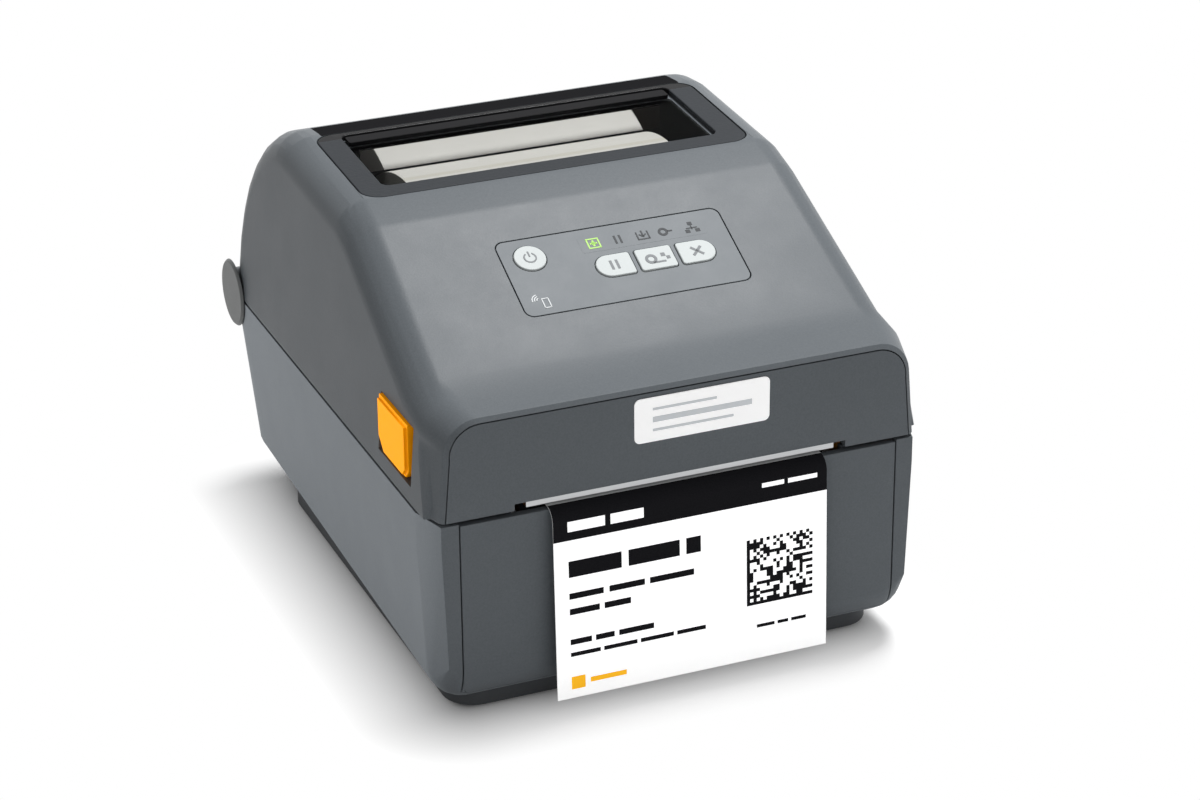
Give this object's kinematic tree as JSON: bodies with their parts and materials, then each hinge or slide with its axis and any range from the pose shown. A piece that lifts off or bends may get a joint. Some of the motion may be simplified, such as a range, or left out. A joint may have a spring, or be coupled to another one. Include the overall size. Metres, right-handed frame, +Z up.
{
  "type": "desktop label printer",
  "caption": "Desktop label printer with a hinged lid, window, keypad, side latches, geared platen drive, roll holders and a label hanging from the front slot.",
  "frame": {"origin": "centre of the bounding box's bottom face, on the table under the printer", "axes": "+Z up, the front with the label slot faces -Y, +X to the right seen from the front"},
  "size_m": [0.177, 0.227, 0.1504],
  "materials": {
    "slate_plastic": "fine-textured matte slate grey",
    "dark_plastic": "matte dark grey",
    "foot_rubber": "matte black rubber",
    "steel": "brushed steel",
    "motor_black": "satin black paint",
    "board_green": "green solder mask",
    "chip_black": "matte black",
    "port_black": "matte black",
    "port_metal": "plated steel",
    "label_paper": "white label paper",
    "core_card": "brown card",
    "holder_black": "matte black",
    "gear_white": "natural white",
    "pinion_brass": "brass",
    "amber_plastic": "amber, satin",
    "plate_white": "blank white plate with plain stripes",
    "frame_plastic": "textured dark slate",
    "pane_clear": "clear pane",
    "trim_black": "glossy black",
    "panel_grey": "smooth grey",
    "dome_rubber": "milky silicone",
    "light_green": "translucent light guides",
    "key_white": "satin white with grey symbols",
    "head_metal": "machined aluminium",
    "cap_grey": "satin grey"
  },
  "bodies": {
    "base": {"base_tub": "slate_plastic", "front_bezel": "slate_plastic", "base_plate": "dark_plastic", "rubber_feet": "foot_rubber", "base_screws": "steel", "media_tray": "dark_plastic", "drive_plate": "steel", "platen_plate": "steel", "stepper_motor": "motor_black", "main_board": "board_green", "board_components": "chip_black", "rear_port_panel": "port_black", "power_jack": "port_black", "data_port": "port_metal", "network_port": "port_metal", "hinge_pins": "steel", "label_strip": "label_paper"},
    "lid": {"lid_shell": "slate_plastic", "lid_front_panel": "slate_plastic", "name_plate": "plate_white", "window_frame": "frame_plastic", "window_pane": "pane_clear", "window_trim": "trim_black", "control_panel": "panel_grey", "keypad_board": "board_green", "switch_domes": "dome_rubber", "status_lights": "light_green", "printhead_bracket": "steel", "leaf_spring": "steel", "tear_bar": "steel", "hinge_cap_left": "cap_grey", "hinge_cap_right": "cap_grey", "lid_screws": "steel", "latch_spring_left": "steel", "latch_spring_right": "steel"},
    "roll": {"label_roll": "label_paper", "roll_core": "core_card"},
    "platen": {"platen_roller": "foot_rubber", "platen_shaft": "steel", "platen_gear": "gear_white"},
    "idler": {"idler_gear": "gear_white"},
    "motor_rotor": {"motor_pinion": "pinion_brass"},
    "bush_left": {"platen_bush_left": "amber_plastic"},
    "bush_right": {"platen_bush_right": "amber_plastic"},
    "holder_left": {"holder_left": "holder_black"},
    "holder_right": {"holder_right": "holder_black"},
    "holder_pinion": {"holder_pinion": "gear_white"},
    "sensor": {"media_sensor": "chip_black"},
    "printhead": {"printhead": "head_metal"},
    "latch_left": {"latch_left": "amber_plastic"},
    "latch_right": {"latch_right": "amber_plastic"},
    "button_power": {"button_power": "key_white"},
    "button_pause": {"button_pause": "key_white"},
    "button_feed": {"button_feed": "key_white"},
    "button_cancel": {"button_cancel": "key_white"}
  },
  "joints": [
    {"name": "lid_hinge", "type": "hinge", "parent": "base", "child": "lid", "pos_m": [0, 0.0995, 0.0752], "axis": [-1, 0, 0], "range_deg": [0, 85]},
    {"name": "roll_spin", "type": "hinge", "parent": "base", "child": "roll", "pos_m": [0, 0.0205, 0.0864], "axis": [1, 0, 0], "continuous": true},
    {"name": "platen_spin", "type": "hinge", "parent": "base", "child": "platen", "pos_m": [0, -0.0945, 0.0683], "axis": [1, 0, 0], "continuous": true},
    {"name": "idler_spin", "type": "hinge", "parent": "base", "child": "idler", "pos_m": [0, -0.08429, 0.05396], "axis": [1, 0, 0], "continuous": true},
    {"name": "motor_spin", "type": "hinge", "parent": "base", "child": "motor_rotor", "pos_m": [0, -0.0695, 0.046], "axis": [1, 0, 0], "continuous": true},
    {"name": "bush_left_turn", "type": "hinge", "parent": "base", "child": "bush_left", "pos_m": [0, -0.0945, 0.0683], "axis": [1, 0, 0], "range_deg": [0, 45]},
    {"name": "bush_right_turn", "type": "hinge", "parent": "base", "child": "bush_right", "pos_m": [0, -0.0945, 0.0683], "axis": [1, 0, 0], "range_deg": [0, 45]},
    {"name": "holder_left_slide", "type": "slide", "parent": "base", "child": "holder_left", "axis": [-1, 0, 0], "range_m": [0, 0.008]},
    {"name": "holder_right_slide", "type": "slide", "parent": "base", "child": "holder_right", "axis": [1, 0, 0], "range_m": [0, 0.008]},
    {"name": "holder_pinion_turn", "type": "hinge", "parent": "base", "child": "holder_pinion", "pos_m": [0.0015, 0.0205, 0.024], "axis": [0, 0, 1], "range_deg": [-77, 0]},
    {"name": "sensor_slide", "type": "slide", "parent": "base", "child": "sensor", "axis": [1, 0, 0], "range_m": [-0.034, 0.034]},
    {"name": "printhead_lift", "type": "slide", "parent": "lid", "child": "printhead", "axis": [0, 0, 1], "range_m": [0, 0.001], "stiffness_N_per_m": 3000, "springref_m": -0.002, "deforming": ["leaf_spring"]},
    {"name": "latch_left_slide", "type": "slide", "parent": "lid", "child": "latch_left", "axis": [0, -1, 0], "range_m": [0, 0.003], "stiffness_N_per_m": 600, "springref_m": -0.002, "deforming": ["latch_spring_left"]},
    {"name": "latch_right_slide", "type": "slide", "parent": "lid", "child": "latch_right", "axis": [0, -1, 0], "range_m": [0, 0.003], "stiffness_N_per_m": 600, "springref_m": -0.002, "deforming": ["latch_spring_right"]},
    {"name": "button_power_press", "type": "slide", "parent": "lid", "child": "button_power", "axis": [0, 0.4242, -0.9056], "range_m": [0, 0.0008], "stiffness_N_per_m": 800, "springref_m": -0.0006},
    {"name": "button_pause_press", "type": "slide", "parent": "lid", "child": "button_pause", "axis": [0, 0.4242, -0.9056], "range_m": [0, 0.0008], "stiffness_N_per_m": 800, "springref_m": -0.0006},
    {"name": "button_feed_press", "type": "slide", "parent": "lid", "child": "button_feed", "axis": [0, 0.4242, -0.9056], "range_m": [0, 0.0008], "stiffness_N_per_m": 800, "springref_m": -0.0006},
    {"name": "button_cancel_press", "type": "slide", "parent": "lid", "child": "button_cancel", "axis": [0, 0.4242, -0.9056], "range_m": [0, 0.0008], "stiffness_N_per_m": 800, "springref_m": -0.0006}
  ],
  "couplings": [
    {"joint": "platen_spin", "follows": "roll_spin", "ratio": 8.5},
    {"joint": "idler_spin", "follows": "roll_spin", "ratio": -3.9667},
    {"joint": "motor_spin", "follows": "roll_spin", "ratio": 9.9167},
    {"joint": "holder_right_slide", "follows": "holder_left_slide", "ratio": 1},
    {"joint": "holder_pinion_turn", "follows": "holder_left_slide", "rad_per_m": -166.67}
  ]
}
